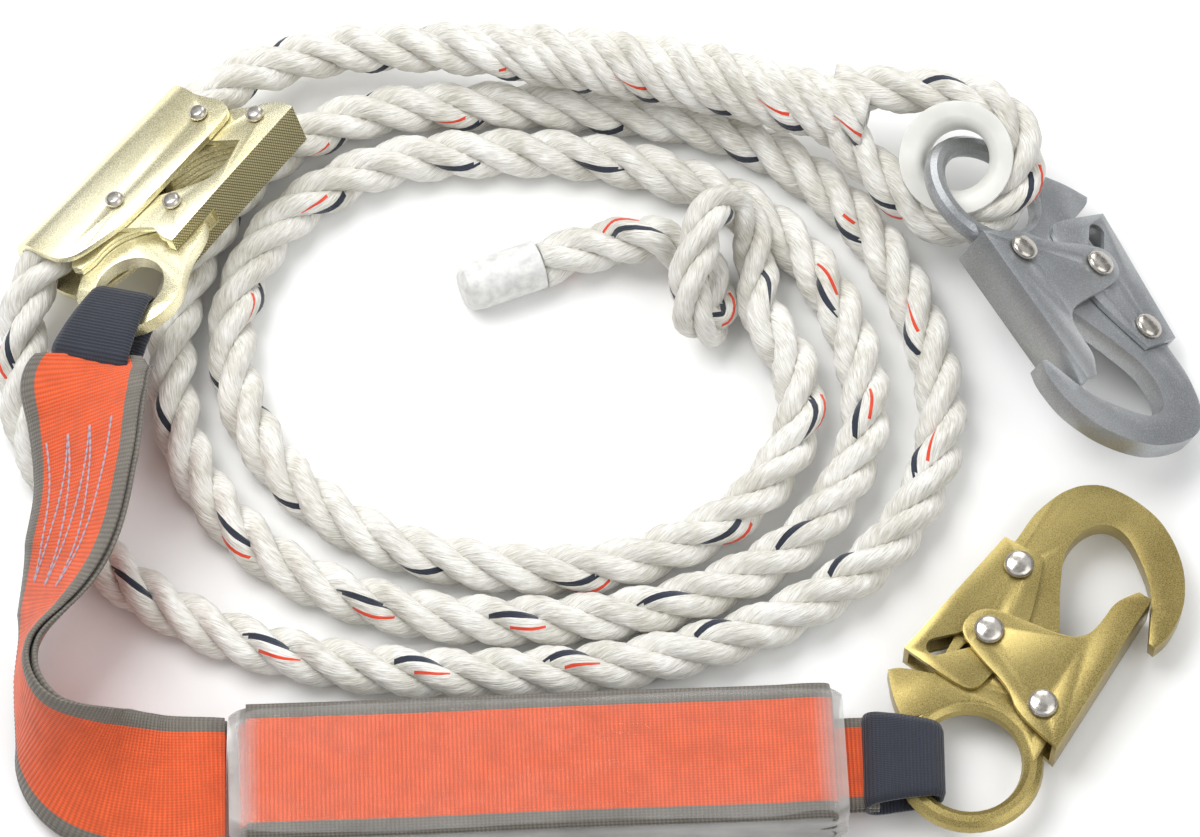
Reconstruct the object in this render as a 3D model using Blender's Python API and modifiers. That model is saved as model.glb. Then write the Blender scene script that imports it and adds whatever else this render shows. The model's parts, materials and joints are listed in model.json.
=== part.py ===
"""Rope grab on a three-strand lifeline, with its shock-absorbing lanyard and two snap hooks.

The kit lies on the ground. Metres, +Z up; outlines are written in millimetres and scaled by MM.
"""

import math

import bmesh
import bpy
from mathutils import Matrix, Vector

MM = 0.001
CLEARANCE = 0.3

# Middle of the hardware and lanyard on the ground, which is the object's origin.
MIDDLE = Vector((2.13, -22.87, 0)) * MM

# Lifeline
ROPE_RADIUS = 7.7
ROPE_STEP = 18
SPLICE_END = 105
SPLICE_STEP = 15
SPLICE_RADIUS = 12.2
SPLICE_TAPER = 0.4
TAPE_RADIUS = 8.1

# Rope grab: local X runs from the rope to the lever, Y up along the rope
GRAB_CENTRE = Vector((-148.4, 82.0, 19.0)) * MM
GRAB_TURN = math.radians(51.5)
GRAB_ROLL = math.radians(18)
SHELL_INNER = 8.6
SHELL_OUTER = 10.9
SHELL_TOP = 27.5
SHELL_BOTTOM = -48.5
LEVER_INNER = 6.2
LEVER_OUTER = 8.2
PIN_ACROSS = 12.0
PIN_ALONG = 20.5
LINK = (15.4, 10.2)
PIN_RADIUS = 1.7
HEAD_RADIUS = 3.0
HEAD_HEIGHT = 2.5
CAM_PLATE = 2.1
CAM_PLATES = 5
SIDE_PLATE = 1.4
EYE_PLATE = 4.9
EYE_FROM_PIN = (6.0, -30.0)
EYE_OUTER = 17.5
EYE_HOLE = 11.5

# Lanyard
WEB_WIDTH = 44.5
WEB_PLY = 2.2
LOOP_WEB = 2.4
PULL_TURN = math.radians(17)
PACK_CENTRE = Vector((-19.0, -128.7, 0)) * MM
PACK_TURN = math.radians(2.4)
PACK_LENGTH = 188
PACK_HEIGHT = 25.4
COVER_WALL = 0.5

# Snap hooks: local X runs from the eye to the nose, the gate is on the -Y side
HOOK_EYE_RADIUS = 19.6
HOOK_HALF = 3.4
LOCK_HALF = (3.7, 5.5)
GATE_HALF = (5.8, 7.6)
FOLD = 1.8
LOCK_PIVOT = (65.1, 15.2)
LINK_RIVET = (39.7, 13.35)
GATE_PIVOT = (25.1, -12.2)
RIVET_HEAD = 4.7

# Thimble
THIMBLE_CENTRE = Vector((115.7, 79.6, 27.2)) * MM
THIMBLE_AXIS = Vector((-0.183, -0.402, 0.897)).normalized()
THIMBLE_HOLE = 10.4
THIMBLE_HALF = 8.6
LOOP_RADIUS = 20.6
LOOP_ROPE = 7.6
THROAT = Vector((-0.87, 0.47, 0.0))

# Route of the rope, in metres, from the thimble's throat through the grab and round the coil
ROUTE = (
    (0.0866, 0.0954, 0.0283), (0.064, 0.1010, 0.0287), (0.032, 0.1095, 0.028),
    (0.000, 0.1165, 0.0275), (-0.032, 0.122, 0.025), (-0.064, 0.1275, 0.018),
    (-0.088, 0.129, 0.013), (-0.106, 0.1235, 0.014), (-0.1205, 0.1143, 0.0175),
    (-0.1297, 0.1055, 0.019), (-0.1546, 0.0742, 0.019), (-0.1789, 0.0436, 0.019),
    (-0.1832, 0.0345, 0.0173), (-0.1846, 0.0195, 0.012), (-0.1835, 0.001, 0.0086),
    (-0.173, -0.026, 0.0082), (-0.154, -0.056, 0.0082), (-0.123, -0.077, 0.0082),
    (-0.080, -0.090, 0.0082), (-0.032, -0.093, 0.0082), (0.016, -0.088, 0.0082),
    (0.059, -0.073, 0.0082), (0.091, -0.048, 0.0082), (0.108, -0.012, 0.0082),
    (0.103, 0.031, 0.0082), (0.084, 0.068, 0.0082), (0.048, 0.098, 0.0082),
    (0.003, 0.109, 0.0082), (-0.042, 0.111, 0.0082), (-0.079, 0.107, 0.0082),
    (-0.108, 0.091, 0.0082), (-0.128, 0.060, 0.0082), (-0.137, 0.022, 0.0082),
    (-0.129, -0.021, 0.0082), (-0.102, -0.054, 0.0082), (-0.064, -0.071, 0.0082),
    (-0.019, -0.075, 0.0082), (0.029, -0.067, 0.0082), (0.066, -0.044, 0.0082),
    (0.084, -0.008, 0.0082), (0.078, 0.033, 0.0082), (0.057, 0.065, 0.0082),
    (0.013, 0.088, 0.0082), (-0.035, 0.093, 0.0082), (-0.075, 0.087, 0.0082),
    (-0.104, 0.066, 0.0082), (-0.118, 0.029, 0.0082), (-0.108, -0.012, 0.0082),
    (-0.077, -0.043, 0.0082), (-0.034, -0.0565, 0.0082), (0.013, -0.0535, 0.0082),
    (0.049, -0.032, 0.0082), (0.064, -0.001, 0.0082), (0.0605, 0.018, 0.0088),
    (0.0525, 0.0305, 0.0112),
)
TAIL = (
    (0.0155, 0.0577, 0.015), (0.0054, 0.0588, 0.010), (-0.0096, 0.0557, 0.0083),
    (-0.0190, 0.0520, 0.0083),
)
TAPE_END = Vector((-44.8, 42.1, 8.3)) * MM
KNOT_CENTRE = Vector((33.0, 48.0, 17.5)) * MM
KNOT_SIZE = (14.5, 23.0, 17.3)

# Lanyard strap: middle of the strap and the direction of its width at each station
STRAP = (
    ((-161.3, -0.2, 32.3), (0.89, -0.34, 0.30)),
    ((-160.6, -12.0, 32.6), (0.82, -0.17, 0.50)),
    ((-160.0, -34.8, 32.5), (0.74, 0.00, 0.67)),
    ((-163.8, -59.5, 31.0), (0.70, 0.00, 0.71)),
    ((-171.2, -80.2, 26.5), (0.50, 0.10, 0.86)),
    ((-176.0, -97.0, 24.5), (0.20, 0.10, 0.97)),
    ((-172.2, -116.6, 23.5), (0.12, 0.35, 0.93)),
    ((-156.8, -129.5, 18.5), (0.05, 0.75, 0.66)),
    ((-137.6, -133.4, 14.0), (0.00, 0.95, 0.30)),
    ((-114.6, -133.0, 13.0), (-0.04, 1.00, 0.00)),
)

OUTLINE_SHELL = (
    (-12, 27.5), (5, 26.5), (12, 28.3), (16, 28.6), (19.4, 27.2), (21, 23.5), (21, -24),
    (19.5, -30), (16.5, -41), (14.5, -45), (10.5, -47.8), (5, -48.5), (-12, -48.5),
)
OUTLINE_LEVER = (
    (17.5, 28.3), (22, 32), (26.9, 36.6), (31, 39.3), (35.8, 39.7), (36.4, 20), (37, 0),
    (38, -22), (33, -22.6), (28.8, -21), (17.5, -27.5), (17.5, -13), (21, -10.5), (27.1, -3),
    (31.0, 2.5), (32.2, 9), (31.5, 14), (29.5, 20.5), (21, 15.5), (17.5, 13.5),
)
OUTLINE_UPPER_CAM = (
    (8.7, 20), (8.8, 12), (9.3, 4), (10.5, -1), (12.5, -2.5), (15, -1), (16.5, 4), (18, 9.5),
    (20.5, 14), (24.5, 18.5), (30, 23), (32.6, 27), (33.4, 30.7), (31.9, 34.5), (27.4, 36.6),
    (23.4, 35), (17, 29.5), (12, 26.5), (9, 24),
)
OUTLINE_LOWER_CAM = (
    (8.7, -21), (8.8, -29), (9.4, -37), (10.8, -43), (13.5, -45.5), (16.5, -44.5),
    (17.7, -40), (17.4, -34), (18.8, -28), (22.3, -23), (27, -18.5), (32, -14.5),
    (33.4, -10.3), (31.5, -6), (27.4, -4.4), (22.5, -6), (16, -12), (11, -15.5), (8.9, -17.5),
)
OUTLINE_BODY = (
    (24, -18.8), (32, -16.8), (40, -12), (49.5, -6.6), (63.4, 0), (74.8, 4.5), (81, 4.6),
    (86.5, 3), (90.6, 0), (92.4, -4), (91.6, -9.5), (87.3, -15.4), (78, -25), (61, -31.8),
    (60.5, -34), (66, -36.4), (77.4, -36.3), (88, -31.5), (95.9, -24.4), (101.5, -16),
    (104, -6), (104.1, 3.8), (100.5, 10.5), (94.8, 15.2), (84.3, 19.2), (73.9, 19.9),
    (60, 22.2), (20.5, 22.4), (17.4, 32.7), (15, 35.5), (8, 30.5), (2, 24),
)
OUTLINE_GATE = (
    (34.5, 19.7), (29.5, 9.5), (25.2, -0.8), (19.1, -6.5), (14.2, -22.3), (73, -26.5),
    (73.5, -22), (67, -16.9), (59.2, -16.2), (52.9, -14.6), (49.1, -9.3), (48.4, 2),
    (47.7, 12.1), (46.3, 17.3), (43.3, 20.4), (38.5, 21.6),
)
OUTLINE_LOCK = (
    (72, 23.4), (71.2, 9.5), (60, 6.3), (48.6, 3.6), (37, 4.6), (26.8, 6.6), (21.6, 8.2),
    (19.4, 12), (23.1, 34.1),
)


def clear_scene():
    for item in list(bpy.data.objects):
        bpy.data.objects.remove(item)


def collection(name):
    made = bpy.data.collections.new(name)
    bpy.context.scene.collection.children.link(made)
    return made


def material(name, colour, roughness, metallic=0.0):
    made = bpy.data.materials.new(name)
    made.use_nodes = True
    shader = made.node_tree.nodes["Principled BSDF"]
    shader.inputs["Base Color"].default_value = (*colour, 1)
    shader.inputs["Roughness"].default_value = roughness
    shader.inputs["Metallic"].default_value = metallic
    made.diffuse_color = (*colour, 1)
    return made


def frame(name, matrix, parent=None):
    """An empty that carries the pieces of one sub-assembly, or one joint's axis."""
    empty = bpy.data.objects.new(name, None)
    parts.objects.link(empty)
    empty.parent = parent
    empty.matrix_local = matrix
    return empty


def axes(x_axis, z_axis, origin):
    """A placing whose X and Z point the given ways."""
    z_axis = z_axis.normalized()
    y_axis = z_axis.cross(x_axis).normalized()
    turn = Matrix((y_axis.cross(z_axis), y_axis, z_axis)).transposed().to_4x4()
    return Matrix.Translation(origin) @ turn


def as_mesh(item):
    """The curve's evaluated shape as a mesh with its caps welded on."""
    bpy.context.view_layer.update()
    mesh = bpy.data.meshes.new_from_object(
        item.evaluated_get(bpy.context.evaluated_depsgraph_get())
    )
    work = bmesh.new()
    work.from_mesh(mesh)
    bmesh.ops.remove_doubles(work, verts=work.verts, dist=1e-7)
    bmesh.ops.recalc_face_normals(work, faces=work.faces)
    work.to_mesh(mesh)
    work.free()
    solid = bpy.data.objects.new(item.name, mesh)
    bpy.data.objects.remove(item)
    return solid


def prism(name, loops, low, high):
    """A flat outline with any holes, filled from low to high along Z. Everything in mm."""
    curve = bpy.data.curves.new(name, "CURVE")
    curve.dimensions = "2D"
    curve.fill_mode = "BOTH"
    curve.extrude = (high - low) / 2 * MM
    for loop in loops:
        spline = curve.splines.new("POLY")
        spline.points.add(len(loop) - 1)
        for point, (x, y) in zip(spline.points, loop):
            point.co = (x * MM, y * MM, 0, 1)
        spline.use_cyclic_u = True
    item = bpy.data.objects.new(name, curve)
    bpy.context.scene.collection.objects.link(item)
    solid = as_mesh(item)
    solid.data.transform(Matrix.Translation((0, 0, (low + high) / 2 * MM)))
    solid.name = name
    return solid


def circle(centre, radius, corners=20):
    turns = [2 * math.pi * i / corners for i in range(corners)]
    return [(centre[0] + radius * math.cos(t), centre[1] + radius * math.sin(t)) for t in turns]


def arc(centre, radius, start, end, steps):
    turns = [math.radians(start + (end - start) * i / steps) for i in range(steps + 1)]
    return [(centre[0] + radius * math.cos(t), centre[1] + radius * math.sin(t)) for t in turns]


def place(item, parent, finish, smooth=False):
    """Puts a finished solid in the parts collection, on its parent."""
    parts.objects.link(item)
    item.parent = parent
    item.data.materials.append(finish)
    if smooth and item.type == "MESH":
        item.data.shade_smooth()
        item.data.set_sharp_from_angle(angle=math.radians(35))
    return item


def helper(item, parent):
    cutters.objects.link(item)
    item.parent = parent
    item.hide_render = True
    item.display_type = "WIRE"
    return item


def boolean(item, other, operation):
    """Joins, cuts or trims the solid with a helper on the same parent."""
    modifier = item.modifiers.new(operation.title() + " " + other.name, "BOOLEAN")
    modifier.operation = operation
    modifier.object = helper(other, item.parent)


def block(name, low, high, turn=0.0, origin=(0, 0)):
    """A box from low to high, turned about Z at origin, all in mm."""
    mesh = bpy.data.meshes.new(name)
    work = bmesh.new()
    bmesh.ops.create_cube(work, size=1)
    size = [(high[i] - low[i]) * MM for i in range(3)]
    middle = [(high[i] + low[i]) / 2 * MM for i in range(3)]
    bmesh.ops.scale(work, vec=size, verts=work.verts)
    bmesh.ops.translate(work, vec=middle, verts=work.verts)
    work.to_mesh(mesh)
    work.free()
    mesh.transform(Matrix.Translation((origin[0] * MM, origin[1] * MM, 0))
                   @ Matrix.Rotation(turn, 4, "Z"))
    return bpy.data.objects.new(name, mesh)


def turned(name, profile, steps=24):
    """A solid of revolution about Z, from a closed or axis-to-axis profile in mm, run downwards."""
    mesh = bpy.data.meshes.new(name)
    work = bmesh.new()
    corners = [work.verts.new((x * MM, 0, z * MM)) for x, z in profile]
    for first, second in zip(corners, corners[1:]):
        work.edges.new((first, second))
    if profile[0][0] > 0:
        work.edges.new((corners[-1], corners[0]))
    work.to_mesh(mesh)
    work.free()
    item = bpy.data.objects.new(name, mesh)
    screw = item.modifiers.new("Turn", "SCREW")
    screw.steps = steps
    screw.render_steps = steps
    screw.use_merge_vertices = True
    screw.merge_threshold = 0.00001
    return item


def rivet(name, at, reach, shaft, head, height, parent, finish):
    """A rivet through at, whose two heads sit a clearance outside reach on both sides."""
    top = reach + CLEARANCE
    profile = (
        (0, top + height), (head * 0.72, top + height * 0.95), (head, top + height * 0.55),
        (head, top), (shaft, top), (shaft, -top), (head, -top), (head, -top - height * 0.55),
        (head * 0.72, -top - height * 0.95), (0, -top - height),
    )
    item = turned(name, profile)
    item.location = (at[0] * MM, at[1] * MM, 0)
    return place(item, parent, finish, smooth=True)


def tube(name, points, radius, parent, finish, radii=None):
    """A round cord along the points, which are in metres."""
    curve = bpy.data.curves.new(name, "CURVE")
    curve.dimensions = "3D"
    curve.bevel_depth = radius * MM
    curve.bevel_resolution = 2
    curve.use_fill_caps = True
    spline = curve.splines.new("POLY")
    spline.points.add(len(points) - 1)
    for index, (point, place_) in enumerate(zip(spline.points, points)):
        point.co = (*place_, 1)
        point.radius = radii[index] / radius if radii else 1
    item = bpy.data.objects.new(name, curve)
    return place(item, parent, finish)


def smooth_route(points, step):
    """Points about a step apart, in mm, on the smooth curve through the route's own points."""
    route = [Vector(p) for p in points]
    last = len(route) - 1
    tangents = []
    for i, here in enumerate(route):
        before = route[max(i - 1, 0)]
        after = route[min(i + 1, last)]
        back, ahead = (here - before).length, (after - here).length
        if i == 0:
            tangents.append((after - here) / ahead)
        elif i == last:
            tangents.append((here - before) / back)
        else:
            tangents.append(
                ((here - before) / back * ahead + (after - here) / ahead * back) / (back + ahead)
            )
    fine = []
    for i in range(last):
        length = (route[i + 1] - route[i]).length
        count = max(4, round(length / MM / 2))
        for k in range(count):
            t = k / count
            fine.append(
                (2 * t**3 - 3 * t**2 + 1) * route[i]
                + (t**3 - 2 * t**2 + t) * length * tangents[i]
                + (3 * t**2 - 2 * t**3) * route[i + 1]
                + (t**3 - t**2) * length * tangents[i + 1]
            )
    fine.append(route[-1])
    run = [0.0]
    for first, second in zip(fine, fine[1:]):
        run.append(run[-1] + (second - first).length)
    count = max(2, round(run[-1] / MM / step))
    result, k = [], 0
    for i in range(count + 1):
        goal = run[-1] * i / count
        while k < len(run) - 2 and run[k + 1] < goal:
            k += 1
        part = (goal - run[k]) / (run[k + 1] - run[k])
        result.append(fine[k].lerp(fine[k + 1], min(1.0, part)))
    return result


def ribbon(name, stations, width, thickness, offset, parent, finish):
    """A strap: a strip of its width along the stations, made solid. Offset is along its face."""
    centres = smooth_route([Vector(c) * MM for c, _ in stations], 9)
    known = [Vector(c) * MM for c, _ in stations]
    ways = [Vector(w).normalized() for _, w in stations]
    mesh = bpy.data.meshes.new(name)
    work = bmesh.new()
    rows = []
    for index, centre in enumerate(centres):
        near = min(range(len(known)), key=lambda i: (known[i] - centre).length)
        ahead = centres[min(index + 1, len(centres) - 1)] - centres[max(index - 1, 0)]
        side = (centre - known[near]).dot(ahead)
        other = min(max(near + (1 if side > 0 else -1), 0), len(known) - 1)
        span = (known[other] - known[near]).length or 1
        part = min((centre - known[near]).length / span, 1) if other != near else 0
        way = ways[near].lerp(ways[other], part).normalized()
        ahead.normalize()
        way = (way - ahead * way.dot(ahead)).normalized()
        face = ahead.cross(way).normalized()
        if face.z < 0 and index == 0:
            face = -face
        middle = centre + face * offset * MM
        half = way * width / 2 * MM
        rows.append((work.verts.new(middle - half), work.verts.new(middle + half)))
    for first, second in zip(rows, rows[1:]):
        work.faces.new((first[0], first[1], second[1], second[0]))
    work.to_mesh(mesh)
    work.free()
    item = bpy.data.objects.new(name, mesh)
    solidify = item.modifiers.new("Thickness", "SOLIDIFY")
    solidify.thickness = thickness * MM
    solidify.offset = 0
    return place(item, parent, finish)


def stadium(left, right, half, steps=8):
    """A long round-ended outline between two X values."""
    return (
        arc((right - half, 0), half, -90, 90, steps) + arc((left + half, 0), half, 90, 270, steps)
    )


def web_loop(name, start, end, inner, width, parent, finish):
    """A webbing loop from start to end along X, standing on its edge in Z, width along Y."""
    outer = inner + LOOP_WEB
    item = prism(name, [stadium(start, end, outer, 10),
                        stadium(start + LOOP_WEB, end - LOOP_WEB, inner, 10)],
                 -width / 2, width / 2)
    item.data.transform(Matrix.Rotation(math.radians(90), 4, "X"))
    return place(item, parent, finish)


def coil_points(radius, turns, rise, legs):
    """A torsion spring's wire: its turns about Z, with a straight leg at each end, in metres."""
    points = [Vector((radius * MM, -legs * MM, 0))]
    steps = round(turns * 12)
    for i in range(steps + 1):
        turn = 2 * math.pi * turns * i / steps
        points.append(Vector((radius * math.cos(turn), radius * math.sin(turn),
                              rise * i / steps)) * MM)
    end = points[-1]
    way = Vector((-end.y, end.x, 0)).normalized()
    points.append(end + way * legs * MM)
    return points


def make_lifeline(root, finish):
    """The rope, its spliced eye, the knot near its end and the taped end."""
    fine = smooth_route(ROUTE, 4)
    run, splice, rope = 0.0, [fine[0]], []
    for first, second in zip(fine, fine[1:]):
        length = (second - first).length / MM
        if run < SPLICE_END <= run + length:
            splice.append(first.lerp(second, (SPLICE_END - run) / length))
            rope.append(splice[-1] + (second - first).normalized() * CLEARANCE * 3 * MM)
        run += length
        (splice if run < SPLICE_END else rope).append(second)
    splice = smooth_route(splice, SPLICE_STEP)
    radii = [SPLICE_RADIUS - SPLICE_TAPER * i for i in range(len(splice))]
    tube("eye_splice", splice, SPLICE_RADIUS, root, finish, radii)
    tube("lifeline_rope", smooth_route(rope, ROPE_STEP), ROPE_RADIUS, root, finish)
    tube("rope_tail", smooth_route(TAIL, 14), ROPE_RADIUS, root, finish)
    knot = bpy.data.meshes.new("stopper_knot")
    work = bmesh.new()
    bmesh.ops.create_uvsphere(work, u_segments=20, v_segments=12, radius=MM)
    bmesh.ops.scale(work, vec=KNOT_SIZE, verts=work.verts)
    bmesh.ops.translate(work, vec=KNOT_CENTRE, verts=work.verts)
    work.to_mesh(knot)
    work.free()
    place(bpy.data.objects.new("stopper_knot", knot), root, finish, smooth=True)


def make_tape(root, finish):
    start = Vector(TAIL[-1])
    along = TAPE_END - start
    length = along.length / MM
    r = TAPE_RADIUS
    item = turned("rope_end_tape", ((0, length), (r - 3, length), (r - 0.8, length - 2),
                                    (r, length - 6), (r, 0.4), (0, 0.4)))
    item.matrix_local = axes(Vector((0, 0, 1)), along, start)
    place(item, root, finish, smooth=True)


def make_eye(root, rope, nylon):
    """The round nylon thimble and the rope that lies in its groove."""
    way = (THROAT - THIMBLE_AXIS * THROAT.dot(THIMBLE_AXIS)).normalized()
    eye = frame("thimble_frame", axes(way, THIMBLE_AXIS, THIMBLE_CENTRE), root)
    half, groove = THIMBLE_HALF, LOOP_RADIUS - LOOP_ROPE - 0.5
    bowl = [(LOOP_RADIUS - (LOOP_ROPE + 0.4) * math.cos(a), (LOOP_ROPE + 0.4) * math.sin(a))
            for a in (math.radians(d) for d in (-75, -45, -15, 15, 45, 75))]
    profile = [(THIMBLE_HOLE, 5), (THIMBLE_HOLE, -5), (THIMBLE_HOLE + 1.4, -half + 1.2),
               (THIMBLE_HOLE + 3.6, -half)]
    profile += [(LOOP_RADIUS - 2.3, -half)] + bowl + [(LOOP_RADIUS - 2.3, half)]
    profile += [(THIMBLE_HOLE + 3.6, half), (THIMBLE_HOLE + 1.4, half - 1.2)]
    assert groove > THIMBLE_HOLE
    thimble = turned("thimble", profile[::-1], steps=40)
    place(thimble, eye, nylon, smooth=True)
    loop = [(30, 11)] + arc((0, 0), LOOP_RADIUS, 70, 290, 18) + [(30, -11)]
    tube("eye_loop", [Vector((x, y, 0)) * MM for x, y in loop], LOOP_ROPE, eye, rope)
    return eye


def make_shell(grab, finish):
    inner, outer, reach = SHELL_INNER, SHELL_OUTER, 24
    fold = arc((0, 0), outer, 90, 270, 14) + [(reach, -outer), (reach, -inner)]
    fold += arc((0, 0), inner, 270, 90, 14) + [(reach, inner), (reach, outer)]
    shell = prism("rope_shell", [fold], SHELL_BOTTOM - 4, SHELL_TOP + 4)
    shell.data.transform(Matrix.Rotation(math.radians(-90), 4, "X"))
    place(shell, grab, finish, smooth=True)
    boolean(shell, prism("shell_outline", [OUTLINE_SHELL], -outer - 2, outer + 2), "INTERSECT")
    for index, along in enumerate((PIN_ALONG, -PIN_ALONG)):
        hole = prism(f"shell_hole_{index}", [circle((PIN_ACROSS, along), PIN_RADIUS + CLEARANCE)],
                     -outer - 2, outer + 2)
        boolean(shell, hole, "DIFFERENCE")


def lifted(pin):
    """Where a cam's outer pin is, from its shell pin."""
    return (pin[0] + LINK[0], pin[1] + LINK[1])


def make_cams(upper, lower, finish):
    """Laminated cams. The lower one's thick middle plate carries the eye."""
    top_pin, low_pin = (PIN_ACROSS, PIN_ALONG), (PIN_ACROSS, -PIN_ALONG)
    hole = PIN_RADIUS + CLEARANCE
    holes = [circle(top_pin, hole, 16), circle(lifted(top_pin), hole, 16)]
    pitch = CAM_PLATE + CLEARANCE
    for index in range(CAM_PLATES):
        low = (index - CAM_PLATES / 2) * pitch + CLEARANCE / 2
        name = f"upper_cam_plate_{index + 1}"
        plate = prism(name, [OUTLINE_UPPER_CAM] + holes, low, low + CAM_PLATE)
        plate.data.transform(Matrix.Translation((-top_pin[0] * MM, -top_pin[1] * MM, 0)))
        place(plate, upper, finish)
    holes = [circle(low_pin, hole, 16), circle(lifted(low_pin), hole, 16)]
    back = Matrix.Translation((-low_pin[0] * MM, -low_pin[1] * MM, 0))
    pitch = SIDE_PLATE + CLEARANCE
    for index in range(4):
        step = EYE_PLATE / 2 + CLEARANCE + (index % 2) * pitch
        low = step if index < 2 else -step - SIDE_PLATE
        name = f"lower_cam_plate_{index + 1}"
        plate = prism(name, [OUTLINE_LOWER_CAM] + holes, low, low + SIDE_PLATE)
        plate.data.transform(back)
        place(plate, lower, finish)
    eye = eye_centre()
    outline = [(8.7, -21), (8.8, -27), (9.6, -32), (11.6, -35.5), (14, -36.6)]
    outline += arc(eye, EYE_OUTER, 167, 400, 26)
    outline += [(42.6, -22), (41, -14), (38.2, -8.2), (33.5, -5), (27.4, -4.4), (22.5, -6)]
    outline += [(16, -12), (11, -15.5), (8.9, -17.5)]
    plate = prism("eye_plate", [outline, circle(eye, EYE_HOLE, 32)] + holes,
                  -EYE_PLATE / 2, EYE_PLATE / 2)
    plate.data.transform(back)
    place(plate, lower, finish)


def eye_centre():
    pin = lifted((PIN_ACROSS, -PIN_ALONG))
    return (pin[0] + EYE_FROM_PIN[0], pin[1] + EYE_FROM_PIN[1])


def make_lever(lever, finish):
    """A folded channel over the cams, with a slot at the foot of its spine for the eye plate."""
    pin = lifted((PIN_ACROSS, -PIN_ALONG))
    other = lifted((PIN_ACROSS, PIN_ALONG))
    back = Matrix.Translation((-pin[0] * MM, -pin[1] * MM, 0))
    hole = PIN_RADIUS + CLEARANCE
    item = prism("grip_lever",
                 [OUTLINE_LEVER, circle(pin, hole, 16), circle(other, hole + 0.4, 16)],
                 -LEVER_OUTER, LEVER_OUTER)
    item.data.transform(back)
    place(item, lever, finish)
    inside = prism("lever_inside", [[(10, 45), (33.9, 45), (34.6, 0), (35.6, -40), (10, -40)]],
                   -LEVER_INNER, LEVER_INNER)
    inside.data.transform(back)
    boolean(item, inside, "DIFFERENCE")
    slot = block("lever_slot", (30, -40, -3), (45, -3, 3))
    slot.data.transform(back)
    boolean(item, slot, "DIFFERENCE")


def make_grab_pins(grab, upper, lower, lever, steel):
    top_pin, low_pin = (PIN_ACROSS, PIN_ALONG), (PIN_ACROSS, -PIN_ALONG)
    shape = (PIN_RADIUS, HEAD_RADIUS, HEAD_HEIGHT)
    rivet("upper_shell_pin", top_pin, SHELL_OUTER, *shape, grab, steel)
    rivet("lower_shell_pin", low_pin, SHELL_OUTER, *shape, grab, steel)
    rivet("upper_lever_pin", LINK, LEVER_OUTER, *shape, upper, steel)
    rivet("lower_lever_pin", (0, 0), LEVER_OUTER, *shape, lever, steel)
    stack = CAM_PLATES * (CAM_PLATE + CLEARANCE) / 2
    low, high = stack + 0.2, SHELL_INNER - CLEARANCE
    ring = ((2.8, high), (2.8, low), (PIN_RADIUS + CLEARANCE, low), (PIN_RADIUS + CLEARANCE, high))
    spots = ((top_pin, 1), (top_pin, -1), (low_pin, 1))
    for index, (at, side) in enumerate(spots):
        item = turned(f"cam_spacer_{index + 1}", [(x, z) for x, z in ring], steps=20)
        item.location = (at[0] * MM, at[1] * MM, 0)
        if side < 0:
            item.rotation_euler = (math.pi, 0, 0)
        place(item, grab, steel, smooth=True)
    wire = coil_points(2.55, 1.5, 1.1, 5.5)
    centre = Vector((low_pin[0], low_pin[1], -high + 0.6)) * MM
    tube("cam_spring", [p + centre for p in wire], 0.3, grab, steel)


def make_pack(root_lanyard, film, webbing, red):
    """The folded shock-absorbing webbing in its open-ended film sleeve."""
    half, height, wall = PACK_LENGTH / 2, PACK_HEIGHT, COVER_WALL
    width = WEB_WIDTH / 2

    def rounded(grow, radius):
        w, low, high = width + grow, 1.1 - grow, height - 1.1 + grow
        corners = ((w, high, 0), (-w, high, 90), (-w, low, 180), (w, low, 270))
        points = []
        for x, z, start in corners:
            cx = x - math.copysign(radius, x)
            cz = z - radius if z == high else z + radius
            points += arc((cx, cz), radius, start, start + 90, 4)
        return points

    upright = axes(Vector((0, 1, 0)), Vector((1, 0, 0)), Vector((0, 0, 0)))
    core = prism("shock_pack_webbing", [rounded(0, 4)], -half + 2, half - 2)
    core.data.transform(upright)
    place(core, root_lanyard, webbing)
    cover = prism("shock_pack_cover", [rounded(1.1, 5), rounded(1.1 - wall, 4.5)], -half, half)
    cover.data.transform(upright)
    place(cover, root_lanyard, film)
    end = block("end_strap", (half - 2 + CLEARANCE, -15, 5), (half + 4.6, 15, 15.5))
    place(end, root_lanyard, red)


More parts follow.
